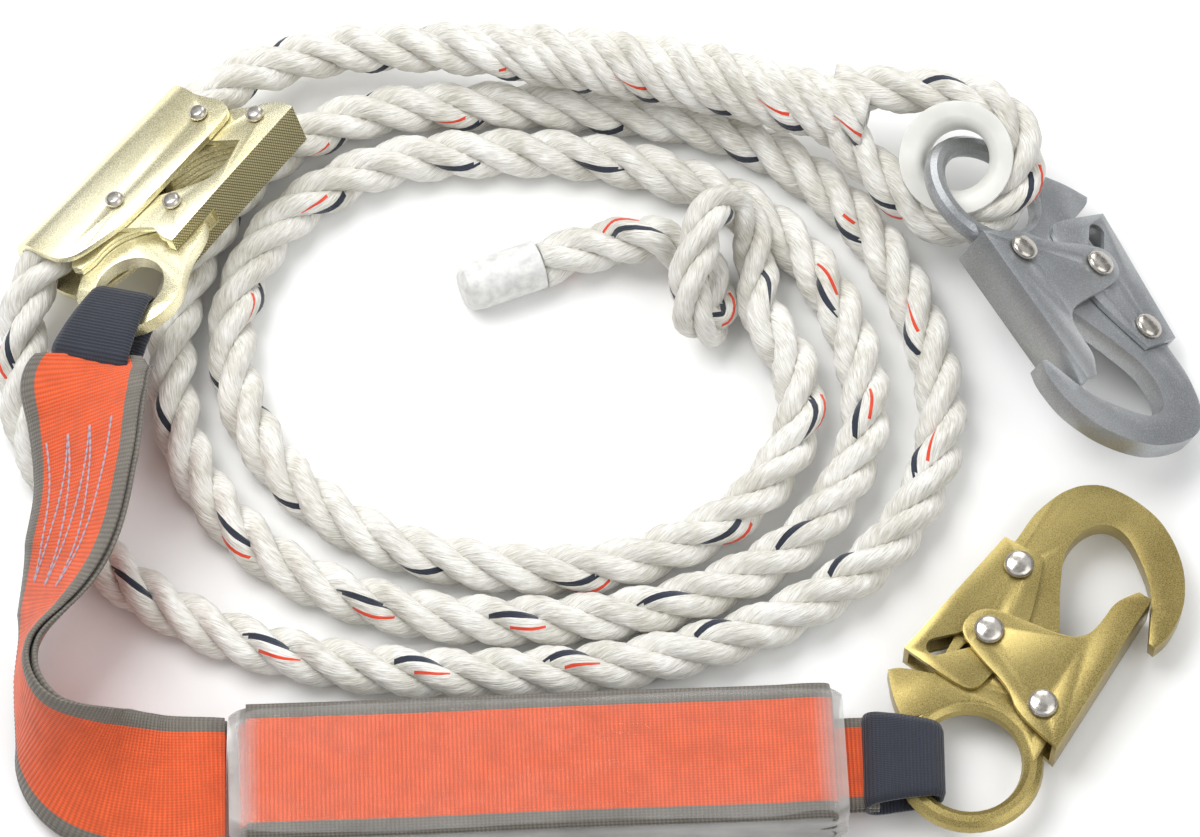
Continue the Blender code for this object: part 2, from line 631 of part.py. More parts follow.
def make_hook(label, body_frame, zinc, steel):
    """One double-locking snap hook: body, gate, thumb lock, three rivets and the gate spring."""
    ring = arc((0, 0), HOOK_EYE_RADIUS, 66, -66, 12)
    slot = slot_along(arc_points(LINK_RIVET, GATE_PIVOT, 27, 5), 2.6)
    clear = 2.0 + CLEARANCE
    body = prism(f"{label}_body",
                 [list(OUTLINE_BODY) + ring, circle(LOCK_PIVOT, clear), circle(GATE_PIVOT, clear),
                  slot], -HOOK_HALF, HOOK_HALF)
    place(body, body_frame, zinc)
    eye = turned(f"{label}_eye", [(HOOK_EYE_RADIUS + x, z) for x, z in
                                  circle((0, 0), HOOK_HALF, 10)[::-1]], steps=40)
    boolean(body, eye, "UNION")
    gate_frame = frame(f"{label}_gate_axis", Matrix.Translation(flat(GATE_PIVOT)), body_frame)
    lock_frame = frame(f"{label}_lock_axis", Matrix.Translation(flat(LOCK_PIVOT)), body_frame)
    gate = prism(f"{label}_gate", [OUTLINE_GATE, circle(GATE_PIVOT, clear),
                                   circle(LINK_RIVET, clear)], -GATE_HALF[1], GATE_HALF[1])
    gate.data.transform(Matrix.Translation(-flat(GATE_PIVOT)))
    place(gate, gate_frame, zinc)
    fold = math.atan2(-26.5 + 22.3, 73 - 14.2)
    hollow = block("gate_hollow", (-20, FOLD, -GATE_HALF[0]), (90, 60, GATE_HALF[0]), fold,
                   (14.2, -22.3))
    hollow.data.transform(Matrix.Translation(-flat(GATE_PIVOT)))
    boolean(gate, hollow, "DIFFERENCE")
    sweep = [lock_view(point, angle) for point, angle in sweep_points()]
    lock = prism(f"{label}_lock", [OUTLINE_LOCK, circle(LOCK_PIVOT, clear),
                                   slot_along(sweep, 2.9)], -LOCK_HALF[1], LOCK_HALF[1])
    lock.data.transform(Matrix.Translation(-flat(LOCK_PIVOT)))
    place(lock, lock_frame, zinc)
    fold = math.atan2(34.1 - 23.4, 23.1 - 72)
    hollow = block("lock_hollow", (-30, FOLD, -LOCK_HALF[0]), (80, 60, LOCK_HALF[0]), fold,
                   (72, 23.4))
    hollow.data.transform(Matrix.Translation(-flat(LOCK_PIVOT)))
    boolean(lock, hollow, "DIFFERENCE")
    height = 2.3
    rivet(f"{label}_lock_rivet", LOCK_PIVOT, LOCK_HALF[1], 2.0, RIVET_HEAD, height, body_frame,
          steel)
    rivet(f"{label}_gate_rivet", GATE_PIVOT, GATE_HALF[1], 2.0, RIVET_HEAD, height, body_frame,
          steel)
    at = (LINK_RIVET[0] - GATE_PIVOT[0], LINK_RIVET[1] - GATE_PIVOT[1])
    rivet(f"{label}_link_rivet", at, GATE_HALF[1], 2.0, RIVET_HEAD, height, gate_frame, steel)
    wire = coil_points(3.1, 1.5, 1.0, 5)
    centre = flat(GATE_PIVOT) + Vector((0, 0, HOOK_HALF + 0.7)) * MM
    tube(f"{label}_gate_spring", [p + centre for p in wire], 0.35, body_frame, steel)


def flat(point):
    return Vector((point[0], point[1], 0)) * MM


def arc_points(point, pivot, degrees, steps):
    """The point's path, as it turns about the pivot."""
    x, y = point[0] - pivot[0], point[1] - pivot[1]
    path = []
    for i in range(steps + 1):
        t = math.radians(degrees * i / steps)
        path.append((pivot[0] + x * math.cos(t) - y * math.sin(t),
                     pivot[1] + x * math.sin(t) + y * math.cos(t)))
    return path


def sweep_points():
    path = arc_points(LINK_RIVET, GATE_PIVOT, 27, 5)
    return [(point, -13 * i / 5) for i, point in enumerate(path)]


def lock_view(point, degrees):
    """A point as the lock sees it after it has turned by minus these degrees."""
    return arc_points(point, LOCK_PIVOT, degrees, 1)[1]


def slot_along(path, radius):
    """A round-ended slot of this radius about a path."""
    left, right = [], []
    for i, (x, y) in enumerate(path):
        before, after = path[max(i - 1, 0)], path[min(i + 1, len(path) - 1)]
        way = math.atan2(after[1] - before[1], after[0] - before[0])
        left.append((x - radius * math.sin(way), y + radius * math.cos(way)))
        right.append((x + radius * math.sin(way), y - radius * math.cos(way)))
    first = math.degrees(math.atan2(path[1][1] - path[0][1], path[1][0] - path[0][0]))
    last = math.degrees(math.atan2(path[-1][1] - path[-2][1], path[-1][0] - path[-2][0]))
    end = arc(path[-1], radius, last - 90, last + 90, 6)[1:-1]
    start = arc(path[0], radius, first + 90, first + 270, 6)[1:-1]
    return right + end + left[::-1] + start


def main():
    rope = material("polyester rope", (0.78, 0.76, 0.70), 0.85)
    tape = material("white tape", (0.85, 0.85, 0.84), 0.55)
    nylon = material("white nylon", (0.82, 0.81, 0.76), 0.4)
    yellow_zinc = material("yellow zinc plate", (0.72, 0.63, 0.32), 0.3, 1)
    bronze_zinc = material("bronze zinc plate", (0.42, 0.34, 0.16), 0.35, 1)
    grey_zinc = material("grey zinc plate", (0.32, 0.33, 0.34), 0.45, 1)
    bright_steel = material("bright steel", (0.62, 0.60, 0.56), 0.25, 1)
    navy_web = material("navy webbing", (0.035, 0.045, 0.07), 0.85)
    orange_web = material("orange webbing", (0.87, 0.13, 0.02), 0.8)
    film = material("clear film", (0.75, 0.74, 0.72), 0.25)

    root = frame("kit_origin", Matrix.Translation(-MIDDLE))
    make_lifeline(root, rope)
    make_tape(root, tape)
    make_eye(root, rope, nylon)

    across = Vector((math.sin(GRAB_TURN), -math.cos(GRAB_TURN), 0)) * math.cos(GRAB_ROLL)
    across.z = math.sin(GRAB_ROLL)
    along = Vector((math.cos(GRAB_TURN), math.sin(GRAB_TURN), 0))
    grab = frame("grab_frame", axes(across, across.cross(along), GRAB_CENTRE), root)
    upper = frame("upper_cam_axis", Matrix.Translation(flat((PIN_ACROSS, PIN_ALONG))), grab)
    lower = frame("lower_cam_axis", Matrix.Translation(flat((PIN_ACROSS, -PIN_ALONG))), grab)
    lever = frame("lever_axis", Matrix.Translation(flat(LINK)), lower)
    make_shell(grab, yellow_zinc)
    make_cams(upper, lower, yellow_zinc)
    make_lever(lever, yellow_zinc)
    make_grab_pins(grab, upper, lower, lever, bright_steel)

    eye = eye_centre()
    at = flat((eye[0] - PIN_ACROSS, eye[1] + PIN_ALONG))
    pull = Vector((math.sin(PULL_TURN), -math.cos(PULL_TURN), 0))
    loop_frame = frame("lanyard_axis", axes(pull, Vector((0, 0, 1)), at), lower)
    web_loop("upper_wear_loop", 1.3, 29, EYE_PLATE / 2 + 0.6, 19, loop_frame, navy_web)
    step = WEB_PLY / 2 + 0.2
    ribbon("lanyard_strap", STRAP, WEB_WIDTH, WEB_PLY, step, root, orange_web)
    ribbon("strap_back_ply", STRAP, WEB_WIDTH, WEB_PLY, -step, root, orange_web)
    pack = frame("pack_frame", Matrix.Translation(PACK_CENTRE)
                 @ Matrix.Rotation(PACK_TURN, 4, "Z"), root)
    make_pack(pack, film, orange_web, orange_web)

    harness_eye = Vector((113.2, -124.2, 10.7)) * MM
    end_loop = frame("end_loop_frame", Matrix.Translation(harness_eye), root)
    web_loop("end_wear_loop", -33, -7.4, HOOK_HALF + 0.5, 20, end_loop, navy_web)
    turn = Matrix.Rotation(math.radians(61.8), 4, "Z")
    harness = frame("harness_hook_axis", Matrix.Translation(harness_eye) @ turn, root)
    make_hook("harness_hook", harness, bronze_zinc, bright_steel)

    anchor_turn = (Matrix.Rotation(math.radians(-54.3), 4, "Z")
                   @ Matrix.Rotation(math.radians(6.8), 4, "Y")
                   @ Matrix.Rotation(math.radians(-30), 4, "X"))
    anchor_eye = Vector((124.5, 68.0, 25.3)) * MM
    anchor = frame("anchor_hook_axis", Matrix.Translation(anchor_eye) @ anchor_turn, root)
    make_hook("anchor_hook", anchor, grey_zinc, bright_steel)


clear_scene()
parts = collection("rope_grab_kit")
cutters = collection("cutters")
main()
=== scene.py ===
import json
import math

import bmesh
import bpy
import numpy as np
from mathutils import Matrix, Vector


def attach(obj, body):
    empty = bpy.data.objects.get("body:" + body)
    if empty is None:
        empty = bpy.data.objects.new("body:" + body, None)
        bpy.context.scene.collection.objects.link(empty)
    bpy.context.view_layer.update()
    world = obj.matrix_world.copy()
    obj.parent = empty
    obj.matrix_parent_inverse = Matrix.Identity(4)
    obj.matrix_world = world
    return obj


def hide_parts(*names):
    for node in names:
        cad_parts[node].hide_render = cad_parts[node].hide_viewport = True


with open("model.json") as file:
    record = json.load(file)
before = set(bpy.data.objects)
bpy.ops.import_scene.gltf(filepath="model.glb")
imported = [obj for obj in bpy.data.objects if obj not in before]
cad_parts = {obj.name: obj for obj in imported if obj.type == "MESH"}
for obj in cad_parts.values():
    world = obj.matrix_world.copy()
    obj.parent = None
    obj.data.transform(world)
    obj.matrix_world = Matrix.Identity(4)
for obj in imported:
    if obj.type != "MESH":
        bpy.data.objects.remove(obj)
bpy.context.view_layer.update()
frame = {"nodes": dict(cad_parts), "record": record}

MM = 0.001
UP = np.array((0.0, 0.0, 1.0))

# Middle of the hardware and lanyard on the ground, in the layout's own coordinates
MIDDLE = np.array((2.13, -22.87, 0.0)) * MM

# Camera: its height above the horizon, its distance and its lens
CAMERA_HEIGHT = math.radians(63)
CAMERA_AWAY = 1.6
CAMERA_LENS = 150

# Laid rope
LAY = 49 * MM
STRAND_OUT = 4.35 * MM
STRAND_RADIUS = 4.15 * MM
STRAND_FLAT = 0.1
STRAND_SIDES = 24
YARNS = 8
YARN_TURN = -1.06
ROW_STEP = 2.2 * MM
KNOT_SQUEEZE = 0.86

# Splice: the tucked strands lie between the rope's own
SPLICE_LENGTH = 150 * MM
SPLICE_TAPER = 60 * MM
SPLICE_SPREAD = 2.5 * MM
TUCK_OUT = 7.5 * MM
TUCK_WAVE = 1.3 * MM
TUCK_PITCH = 33 * MM
TUCK_RADIUS = 4.2 * MM
TUCK_STAGGER = 9 * MM
TUCK_MARK_START = 90 * MM

# Thimble: its centre, its axis, the way to the splice's throat, and its groove's radius in mm
THIMBLE_CENTRE = np.array((115.7, 79.6, 27.2)) * MM
THIMBLE_AXIS = np.array((-0.183, -0.402, 0.897))
THROAT_WAY = np.array((-0.87, 0.47, 0.0))
GROOVE_RADIUS = 20.6
EYE_ROPE_SQUEEZE = 0.95
EYE_LAY_START = 17 * MM

# Rope grab: its middle, its turn on the ground, its roll, and how far out its knurl begins
GRAB_MIDDLE = Vector((-0.1484, 0.082, 0.019))
GRAB_TURN = math.radians(51.5)
GRAB_ROLL = math.radians(18)
KNURL_OUT = 34 * MM
# The lanyard's eye in the grab's own coordinates, and the angle that the lanyard pulls at
GRAB_EYE = Vector((33.4, -40.3, 0.0)) * MM
LANYARD_PULL = math.radians(17)

# Snap hooks: the eye of the lanyard's one, and the turns of the anchor's one
HARNESS_EYE = Vector((0.1132, -0.1242, 0.0107))
ANCHOR_TURNS = (("Z", -54.3), ("Y", 6.8), ("X", -30))

# Shock pack: its place on the ground, its folds and its film sleeve in millimetres
PACK_PLACE = (-0.019, -0.1287, 0)
PACK_TURN = math.radians(2.4)
FOLD_PLIES, FOLD_LOW, FOLD_HIGH, FOLD_REACH = 8, 2.6, 22.9, 88.5
FILM_REACH, FILM_HALF_WIDTH, FILM_HEIGHT, FILM_CORNER = 94.0, 23.1, 25.0, 5.0
FILM_BASE = 0.3
FILM_SIDES = 96
END_STRAP_X = (86.0, 90.0, 95.0, 99.5, 104.0)
END_STRAP_HEIGHT = 10.2
END_STRAP_WIDTH = 30 * MM
END_STRAP_LIFT = 1.35 * MM

# Metal: outline corners between these angles are rounded, over this share of each side
BLUNT_FROM, BLUNT_TO = math.radians(4), math.radians(50)
CORNER_SHARE = 36
SMOOTH_UNDER = math.radians(35)

# Webbing
WEB_WIDTH = 44.5 * MM
WEB_PLY = 2.2 * MM
LOOP_WEB = 2.4 * MM
RIB = 1.3 * MM
LOOP_RIB = 1.1 * MM
PLY_GAP = 0.15 * MM

# Route of the rope in metres, from the thimble's throat through the grab and round the coil
ROUTE = (
    (0.0866, 0.0954, 0.0283), (0.064, 0.1010, 0.0287), (0.032, 0.1095, 0.028),
    (0.000, 0.1165, 0.0275), (-0.032, 0.122, 0.025), (-0.064, 0.1275, 0.018),
    (-0.088, 0.129, 0.013), (-0.106, 0.1235, 0.014), (-0.1205, 0.1143, 0.0175),
    (-0.1297, 0.1055, 0.019), (-0.1546, 0.0742, 0.019), (-0.1789, 0.0436, 0.019),
    (-0.1832, 0.0345, 0.0173), (-0.1846, 0.0195, 0.012), (-0.1835, 0.001, 0.0086),
    (-0.173, -0.026, 0.0082), (-0.154, -0.056, 0.0082), (-0.123, -0.077, 0.0082),
    (-0.080, -0.090, 0.0082), (-0.032, -0.093, 0.0082), (0.016, -0.088, 0.0082),
    (0.059, -0.073, 0.0082), (0.091, -0.048, 0.0082), (0.108, -0.012, 0.0082),
    (0.103, 0.031, 0.0082), (0.084, 0.068, 0.0082), (0.048, 0.098, 0.0082),
    (0.003, 0.109, 0.0082), (-0.042, 0.111, 0.0082), (-0.079, 0.107, 0.0082),
    (-0.108, 0.091, 0.0082), (-0.128, 0.060, 0.0082), (-0.137, 0.022, 0.0082),
    (-0.129, -0.021, 0.0082), (-0.102, -0.054, 0.0082), (-0.064, -0.071, 0.0082),
    (-0.019, -0.075, 0.0082), (0.029, -0.067, 0.0082), (0.066, -0.044, 0.0082),
    (0.084, -0.008, 0.0082), (0.078, 0.033, 0.0082), (0.057, 0.065, 0.0082),
    (0.013, 0.088, 0.0082), (-0.035, 0.093, 0.0082), (-0.075, 0.087, 0.0082),
    (-0.104, 0.066, 0.0082), (-0.118, 0.029, 0.0082), (-0.108, -0.012, 0.0082),
    (-0.077, -0.043, 0.0082), (-0.034, -0.0565, 0.0082), (0.013, -0.0535, 0.0082),
    (0.049, -0.032, 0.0082), (0.064, -0.001, 0.0082), (0.0605, 0.018, 0.0088),
    (0.0525, 0.0305, 0.0112),
)
TAIL = (
    (0.0155, 0.0577, 0.015), (0.0054, 0.0588, 0.010), (-0.0096, 0.0557, 0.0083),
    (-0.0190, 0.0520, 0.0083),
)

# Lanyard strap in millimetres: its middle, then the direction of its width
STRAP = (
    (-160.6, 5.2, 32.0, 0.92, -0.40, 0.22), (-161.3, -0.2, 32.3, 0.89, -0.34, 0.30),
    (-160.6, -12.0, 32.6, 0.82, -0.17, 0.50), (-160.0, -34.8, 32.5, 0.74, 0.00, 0.67),
    (-163.8, -59.5, 31.0, 0.70, 0.00, 0.71), (-171.2, -80.2, 26.5, 0.50, 0.10, 0.86),
    (-176.0, -97.0, 24.5, 0.20, 0.10, 0.97), (-172.2, -116.6, 23.5, 0.12, 0.35, 0.93),
    (-156.8, -129.5, 18.5, 0.05, 0.75, 0.66), (-137.6, -133.4, 14.0, 0.00, 0.95, 0.30),
    (-114.6, -133.0, 13.0, -0.04, 1.00, 0.00),
)

record = frame["record"]
BODY_OF = {n: body for body, nodes in record["behaviour"]["bodies"].items() for n in nodes}
SLOT_OF = {part["node"]: part["material_slot"] for part in record["subparts"]}


# ---- finishes ------------------------------------------------------------------------------

def linear(colour):
    """An sRGB hex colour as linear red, green, blue and alpha."""
    parts = [int(colour[i:i + 2], 16) / 255 for i in (1, 3, 5)]
    return tuple(c / 12.92 if c <= 0.04045 else ((c + 0.055) / 1.055) ** 2.4
                 for c in parts) + (1.0,)


def add(tree, kind, sockets=None, **settings):
    """A node with its settings, and each socket given a value or linked to another's output."""
    node = tree.nodes.new("ShaderNode" + kind)
    for name, value in settings.items():
        setattr(node, name, value)
    for name, value in (sockets or {}).items():
        if isinstance(value, bpy.types.NodeSocket):
            tree.links.new(value, node.inputs[name])
        else:
            node.inputs[name].default_value = value
    return node


def blank(name, roughness, metallic=0.0):
    """A new material's tree and its shader."""
    made = bpy.data.materials.new(name)
    made.use_nodes = True
    shader = made.node_tree.nodes["Principled BSDF"]
    shader.inputs["Roughness"].default_value = roughness
    shader.inputs["Metallic"].default_value = metallic
    return made, made.node_tree, shader


def bands(period):
    """The Wave texture's scale whose bands are a period apart."""
    return 2 * math.pi / (20 * period)


def ramp(tree, factor, stops, interpolation="LINEAR"):
    """A colour ramp with its stops as (place, hex colour)."""
    node = add(tree, "ValToRGB", {"Fac": factor})
    node.color_ramp.interpolation = interpolation
    elements = node.color_ramp.elements
    while len(elements) < len(stops):
        elements.new(0.5)
    for element, (place, colour) in zip(elements, stops):
        element.position = place
        element.color = linear(colour)
    return node.outputs["Color"]


def laid_polyester(name, light, dark):
    """Spun polyester yarn: matt and hairy, with fine fibres along each yarn, darker between fibres
    with painted shade.
    """
    made, tree, shader = blank(name, 0.78)
    shader.inputs["Sheen Weight"].default_value = 0.25
    where = add(tree, "UVMap", uv_map="UVMap").outputs["UV"]
    # Fibres are drawn 0.4 mm wide, coarser than real ones, so that they show.
    spread = add(tree, "Mapping", {"Vector": where, "Scale": (54.0, 210.0, 1.0)})
    fibres = add(tree, "TexNoise", {"Vector": spread.outputs["Vector"], "Scale": 1.0,
                                    "Detail": 3.0})
    place = add(tree, "TexCoord").outputs["Object"]
    soil = add(tree, "TexNoise", {"Vector": place, "Scale": 85.0, "Detail": 2.0})
    both = add(tree, "Mix", {"Factor": 0.4, "A": fibres.outputs["Fac"],
                             "B": soil.outputs["Fac"]}, data_type="FLOAT")
    # The colour follows the fibre bump, so its low parts are darker: painted shade between fibres,
    # mixed with random tone from the soil noise.
    colour = ramp(tree, both.outputs["Result"], ((0.34, dark), (0.62, light)))
    tree.links.new(colour, shader.inputs["Base Color"])
    bump = add(tree, "Bump", {"Height": fibres.outputs["Fac"], "Strength": 0.9,
                              "Distance": 0.6 * MM})
    tree.links.new(bump.outputs["Normal"], shader.inputs["Normal"])
    return made


def zinc_plate(name, light, dark, roughness, grain, blotch=22.0):
    """Zinc plate with a passivated film: soft metal gloss, cloudy in colour, finely grained."""
    made, tree, shader = blank(name, roughness, 0.8)
    place = add(tree, "TexCoord").outputs["Object"]
    cloud = add(tree, "TexNoise", {"Vector": place, "Scale": blotch, "Detail": 4.0})
    crystals = add(tree, "TexVoronoi", {"Vector": place, "Scale": 1 / grain})
    both = add(tree, "Mix", {"Factor": 0.28, "A": cloud.outputs["Fac"],
                             "B": crystals.outputs["Distance"]}, data_type="FLOAT")
    colour = ramp(tree, both.outputs["Result"], ((0.3, dark), (0.66, light)))
    tree.links.new(colour, shader.inputs["Base Color"])
    rough = add(tree, "MapRange", {"Value": crystals.outputs["Distance"],
                                   "To Min": roughness - 0.07, "To Max": roughness + 0.1})
    tree.links.new(rough.outputs["Result"], shader.inputs["Roughness"])
    bump = add(tree, "Bump", {"Height": crystals.outputs["Distance"], "Strength": 0.22,
                              "Distance": 0.12 * MM})
    tree.links.new(bump.outputs["Normal"], shader.inputs["Normal"])
    return made


def knurled_zinc(name, colour, dark, turn):
    """The same plate rolled with a diamond knurl of 0.9 mm pitch, its grooves darkened with painted
    shade.
    """
    made, tree, shader = blank(name, 0.36, 1.0)
    place = add(tree, "TexCoord").outputs["Object"]
    turned = add(tree, "Mapping", {"Vector": place, "Rotation": turn}, vector_type="TEXTURE")
    waves = []
    for lean in (math.radians(38), math.radians(-38)):
        leaning = add(tree, "Mapping", {"Vector": turned.outputs["Vector"],
                                        "Rotation": (lean, 0.0, 0.0)})
        wave = add(tree, "TexWave", {"Vector": leaning.outputs["Vector"],
                                     "Scale": bands(0.9 * MM)}, bands_direction="Y")
        waves.append(wave.outputs["Fac"])
    height = add(tree, "Math", {0: waves[0], 1: waves[1]}, operation="MINIMUM")
    # Colour follows the knurl's height: the grooves take the dark colour as painted shade.
    tree.links.new(ramp(tree, height.outputs["Value"], ((0.05, dark), (0.45, colour))),
                   shader.inputs["Base Color"])
    bump = add(tree, "Bump", {"Height": height.outputs["Value"], "Distance": 0.5 * MM})
    tree.links.new(bump.outputs["Normal"], shader.inputs["Normal"])
    return made


def woven_webbing(name, stops, rib, groove_shade_share=0.42):
    """Woven polyester webbing: cross ribs of heavy weft under fine warp, its edges in colour, the
    grooves between ribs darkened with painted shade.
    """
    made, tree, shader = blank(name, 0.72)
    shader.inputs["Sheen Weight"].default_value = 0.2
    where = add(tree, "UVMap", uv_map="UVMap").outputs["UV"]
    across = add(tree, "SeparateXYZ", {"Vector": where}).outputs["X"]
    plain = ramp(tree, across, stops, "CONSTANT")
    ribs = add(tree, "TexWave", {"Vector": where, "Scale": bands(rib)}, bands_direction="Y")
    warp = add(tree, "TexWave", {"Vector": where, "Scale": bands(0.9 * MM / WEB_WIDTH)},
               bands_direction="X")
    both = add(tree, "Mix", {"Factor": 0.3, "A": ribs.outputs["Fac"],
                             "B": warp.outputs["Fac"]}, data_type="FLOAT")
    place = add(tree, "TexCoord").outputs["Object"]
    wear = add(tree, "TexNoise", {"Vector": place, "Scale": 160.0, "Detail": 3.0})
    # The rib and warp grooves are darkened, mottled by the wear noise: painted shade.
    shade = add(tree, "Math", {0: both.outputs["Result"], 1: wear.outputs["Fac"]},
                operation="MULTIPLY")
    tone = add(tree, "MapRange", {"Value": shade.outputs["Value"], "From Max": 0.55,
                                  "To Min": 1 - groove_shade_share, "To Max": 1.0})
    dye_and_shade = add(tree, "MixRGB", {"Fac": 1.0, "Color1": plain,
                                "Color2": tone.outputs["Result"]}, blend_type="MULTIPLY")
    tree.links.new(dye_and_shade.outputs["Color"], shader.inputs["Base Color"])
    bump = add(tree, "Bump", {"Height": both.outputs["Result"], "Strength": 0.9,
                              "Distance": 0.35 * MM})
    tree.links.new(bump.outputs["Normal"], shader.inputs["Normal"])
    return made


def moulded_nylon(name):
    """Natural nylon: milky, lets some light in, with a soft moulded gloss."""
    made, tree, shader = blank(name, 0.34)
    shader.inputs["Subsurface Weight"].default_value = 0.35
    shader.inputs["Subsurface Radius"].default_value = (0.004, 0.004, 0.0035)
    shader.inputs["Subsurface Scale"].default_value = 1.0
    place = add(tree, "TexCoord").outputs["Object"]
    flow = add(tree, "TexNoise", {"Vector": place, "Scale": 60.0, "Detail": 3.0})
    tree.links.new(ramp(tree, flow.outputs["Fac"], ((0.3, "#D3D2CB"), (0.7, "#E6E6E1"))),
                   shader.inputs["Base Color"])
    bump = add(tree, "Bump", {"Height": flow.outputs["Fac"], "Strength": 0.15,
                              "Distance": 0.3 * MM})
    tree.links.new(bump.outputs["Normal"], shader.inputs["Normal"])
    return made


def shrink_film(name):
    """Clear PVC shrink film: glossy, thin enough to show the webbing, more opaque down its sides as
    a painted glancing reflection.
    """
    made, tree, shader = blank(name, 0.24)
    shader.inputs["Coat Weight"].default_value = 0.5
    where = add(tree, "UVMap", uv_map="UVMap").outputs["UV"]
    place = add(tree, "TexCoord").outputs["Object"]
    haze = add(tree, "TexNoise", {"Vector": place, "Scale": 45.0, "Detail": 4.0})
    tree.links.new(ramp(tree, haze.outputs["Fac"], ((0.3, "#A9A8A4"), (0.75, "#D4D2CE"))),
                   shader.inputs["Base Color"])
    # The first UV goes round the sleeve: 0 and 1 are the middle of the base, 0.5 of the top.
    # The sides are made more opaque than the top: a painted reflection of the film seen at a
    # glancing angle.
    around = add(tree, "SeparateXYZ", {"Vector": where}).outputs["X"]
    side = ramp(tree, around, ((0.0, "#D8D8D8"), (0.3, "#D0D0D0"), (0.37, "#505050"),
                               (0.5, "#484848"), (0.63, "#505050"), (0.7, "#D0D0D0")))
    value = add(tree, "RGBToBW", {"Color": side}).outputs["Val"]
    ends = add(tree, "SeparateXYZ", {"Vector": where}).outputs["Y"]
    near_end = add(tree, "MapRange", {"Value": ends, "From Min": 0.88, "From Max": 1.0,
                                      "To Min": 0.0, "To Max": 0.6})
    alpha = add(tree, "Math", {0: value, 1: near_end.outputs["Result"]}, operation="MAXIMUM")
    tree.links.new(alpha.outputs["Value"], shader.inputs["Alpha"])
    bump = add(tree, "Bump", {"Height": haze.outputs["Fac"], "Strength": 0.3,
                              "Distance": 0.6 * MM})
    tree.links.new(bump.outputs["Normal"], shader.inputs["Normal"])
    return made


def wound_tape(name):
    """White vinyl tape: smooth, with the step of each turn showing, and darker in its creases with
    painted shade.
    """
    made, tree, shader = blank(name, 0.42)
    place = add(tree, "TexCoord").outputs["Object"]
    creases_and_shade = add(tree, "TexNoise", {"Vector": place, "Scale": 260.0, "Detail": 3.0})
    turns = add(tree, "TexWave", {"Vector": place, "Scale": bands(7 * MM), "Distortion": 1.2,
                                  "Detail": 1.0}, wave_profile="SAW")
    # Colour follows the crease noise, which is also in the bump: the creases are darker as painted
    # shade.
    tree.links.new(ramp(tree, creases_and_shade.outputs["Fac"], ((0.3, "#C6C6C3"), (0.6, "#E4E4E1"))),
                   shader.inputs["Base Color"])
    both = add(tree, "Mix", {"Factor": 0.5, "A": creases_and_shade.outputs["Fac"],
                             "B": turns.outputs["Fac"]}, data_type="FLOAT")
    bump = add(tree, "Bump", {"Height": both.outputs["Result"], "Strength": 0.5,
                              "Distance": 0.4 * MM})
    tree.links.new(bump.outputs["Normal"], shader.inputs["Normal"])
    return made


# ---- meshes from rings ---------------------------------------------------------------------

def smooth_line(points, step):
    """Points a step apart on the smooth curve through these. Columns past the third go along."""
    points = np.array(points, float)
    gaps = np.linalg.norm(np.diff(points[:, :3], axis=0), axis=1)
    slopes = np.diff(points, axis=0) / gaps[:, None]
    tangents = np.vstack((slopes[:1], slopes))
    ahead, back = gaps[1:, None], gaps[:-1, None]
    tangents[1:-1] = (slopes[:-1] * ahead + slopes[1:] * back) / (back + ahead)
    fine = []
    for i, gap in enumerate(gaps):
        for t in np.linspace(0, 1, max(4, round(gap / step)), endpoint=False):
            fine.append((2 * t**3 - 3 * t**2 + 1) * points[i]
                        + (t**3 - 2 * t**2 + t) * gap * tangents[i]
                        + (3 * t**2 - 2 * t**3) * points[i + 1]
                        + (t**3 - t**2) * gap * tangents[i + 1])
    fine = np.array(fine + [points[-1]])
    run = measured(fine)
    goals = np.linspace(0, run[-1], max(3, round(run[-1] / step) + 1))
    return np.stack([np.interp(goals, run, column) for column in fine.T], axis=1)


def measured(line):
    """How far along the line each point is."""
    steps = np.linalg.norm(np.diff(line[:, :3], axis=0), axis=1)
    return np.concatenate(([0.0], np.cumsum(steps)))


def unit(vectors):
    return vectors / np.linalg.norm(vectors, axis=-1, keepdims=True)


def untwisted(line):
    """The line's direction at each point, and two directions across it that don't twist."""
    along = unit(np.gradient(line, axis=0))
    side = np.cross(along[0], UP)
    sides = []
    for way in along:
        side = unit(side - way * np.dot(side, way))
        sides.append(side)
    sides = np.array(sides)
    return along, sides, np.cross(along, sides)


def from_rings(name, groups, finishes):
    """A mesh of closed tubes. A group is its rings, its UVs with one more column, and its finish."""
    points, faces, coords, marks = [], [], [], []
    for rings, uvs, mark in groups:
        rows, sides = rings.shape[:2]
        first = sum(len(p) for p in points)
        points.append(rings.reshape(-1, 3))
        index = first + np.arange(rows * sides).reshape(rows, sides)
        nxt = np.roll(index, -1, axis=1)
        quads = np.stack((index[:-1], nxt[:-1], nxt[1:], index[1:]), axis=-1)
        corner = np.stack((uvs[:-1, :-1], uvs[:-1, 1:], uvs[1:, 1:], uvs[1:, :-1]), axis=2)
        faces += quads.reshape(-1, 4).tolist()
        coords.append(corner.reshape(-1, 2))
        marks += np.broadcast_to(mark, (rows - 1, sides)).reshape(-1).tolist()
        for cap, row in ((index[0][::-1], 0), (index[-1], rows - 1)):
            faces.append(cap.tolist())
            coords.append(uvs[row, :-1])
            marks.append(0)
    mesh = bpy.data.meshes.new(name)
    mesh.from_pydata(np.concatenate(points).tolist(), [], faces)
    layer = mesh.uv_layers.new(name="UVMap")
    layer.data.foreach_set("uv", np.concatenate(coords).astype(np.float32).reshape(-1))
    mesh.polygons.foreach_set("material_index", marks)
    mesh.polygons.foreach_set("use_smooth", [True] * len(faces))
    for finish in finishes:
        mesh.materials.append(finish)
    mesh.update()
    piece = bpy.data.objects.new(name, mesh)
    bpy.context.scene.collection.objects.link(piece)
    return piece


